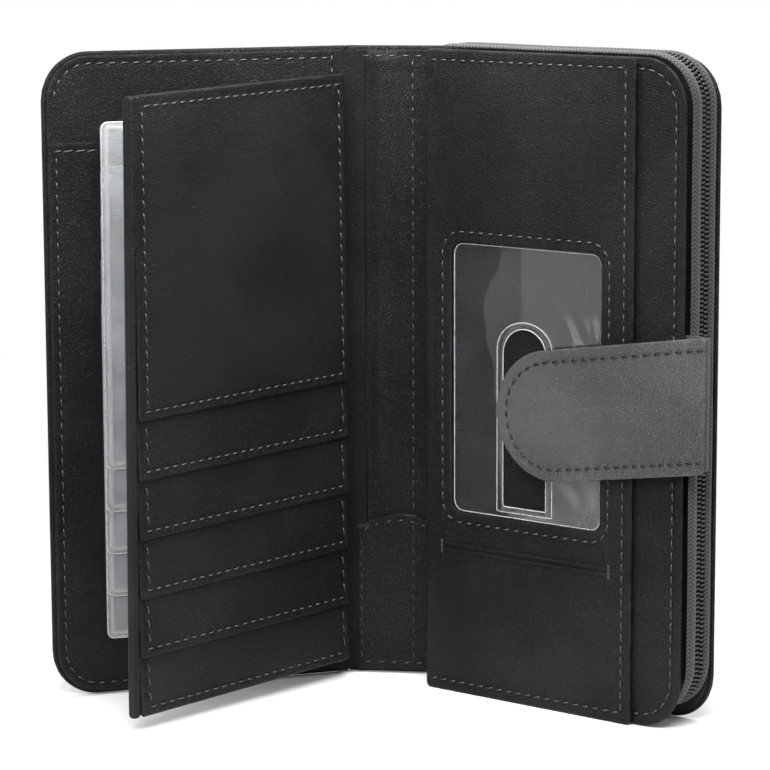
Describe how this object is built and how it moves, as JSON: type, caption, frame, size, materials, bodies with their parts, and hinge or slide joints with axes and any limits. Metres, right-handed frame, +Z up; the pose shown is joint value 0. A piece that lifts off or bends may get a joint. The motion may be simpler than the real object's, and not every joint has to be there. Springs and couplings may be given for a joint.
{
  "type": "checkbook wallet",
  "caption": "Zip-around checkbook wallet of black leatherette, standing open: slip pocket, clear card sleeves, card flap, spine pocket, windowed case and closing strap.",
  "frame": {"origin": "middle of the footprint, on the floor", "axes": "+X to the viewer's right along the open book, +Y away from the viewer, +Z up the leaves"},
  "size_m": [0.1926, 0.0842, 0.1913],
  "materials": {
    "leather": "fine pebble grain, semi-matt",
    "strap_leather": "smooth fine grain, slight sheen",
    "lining_cloth": "plain woven lining",
    "zip_tape": "herringbone woven tape",
    "zip_coil": "nylon coil",
    "clear_film": "clear soft vinyl",
    "metal": "dark nickel"
  },
  "bodies": {
    "case": {"bill_pocket": "leather", "case_end_wall": "leather", "case_lining": "lining_cloth", "case_shell": "leather", "inner_panel": "leather", "inner_panel_lining": "lining_cloth", "strap_root": "leather", "window_film": "clear_film", "zip_coil_back": "zip_coil", "zip_coil_front": "zip_coil", "zip_end_stop": "metal", "zip_stop_back": "metal", "zip_stop_front": "metal", "zip_tape_back": "zip_tape", "zip_tape_front": "zip_tape"},
    "spine": {"spine_shell": "leather", "spine_lining": "leather", "pen_pocket": "leather"},
    "cover": {"cover_shell": "leather", "cover_lining": "leather", "slip_pocket": "leather", "flap_binding": "leather", "snap_socket": "metal", "sleeve_1": "clear_film", "sleeve_2": "clear_film", "sleeve_3": "clear_film", "sleeve_4": "clear_film", "sleeve_5": "clear_film"},
    "flap": {"flap_back": "leather", "flap_top_pocket": "leather", "card_slot_1": "leather", "card_slot_2": "leather", "card_slot_3": "leather", "card_slot_4": "leather", "card_slot_5": "leather"},
    "strap": {"strap_outer": "strap_leather", "strap_lining": "lining_cloth", "strap_stud": "metal"},
    "slider": {"zip_slider": "metal"},
    "pull": {"zip_pull": "metal"}
  },
  "joints": [
    {"name": "spine_fold", "type": "hinge", "parent": "case", "child": "spine", "pos_m": [0.02257, 0.0371, 0.095], "axis": [0, 0, 1], "range_deg": [-25, 60]},
    {"name": "cover_fold", "type": "hinge", "parent": "spine", "child": "cover", "pos_m": [-0.00813, 0.04141, 0.095], "axis": [0, 0, 1], "range_deg": [-26.25, 63]},
    {"name": "flap_fold", "type": "hinge", "parent": "cover", "child": "flap", "pos_m": [-0.01008, 0.03419, 0.095], "axis": [0, 0, 1], "range_deg": [-27, 11.25]},
    {"name": "strap_fold", "type": "hinge", "parent": "case", "child": "strap", "pos_m": [0.09009, -0.03989, 0.096], "axis": [-0.1233, 0.0963, 0.9877], "range_deg": [0, 178]},
    {"name": "zip_slide", "type": "slide", "parent": "case", "child": "slider", "axis": [0.788, -0.6157, 0], "range_m": [0, 0.055]},
    {"name": "pull_hinge", "type": "hinge", "parent": "slider", "child": "pull", "pos_m": [0.02939, 0.0226, 0.0021], "axis": [-0.6157, -0.788, 0], "range_deg": [-165, 0]}
  ],
  "couplings": [
    {"joint": "cover_fold", "follows": "spine_fold", "ratio": 1.05},
    {"joint": "flap_fold", "follows": "spine_fold", "ratio": -0.45}
  ]
}
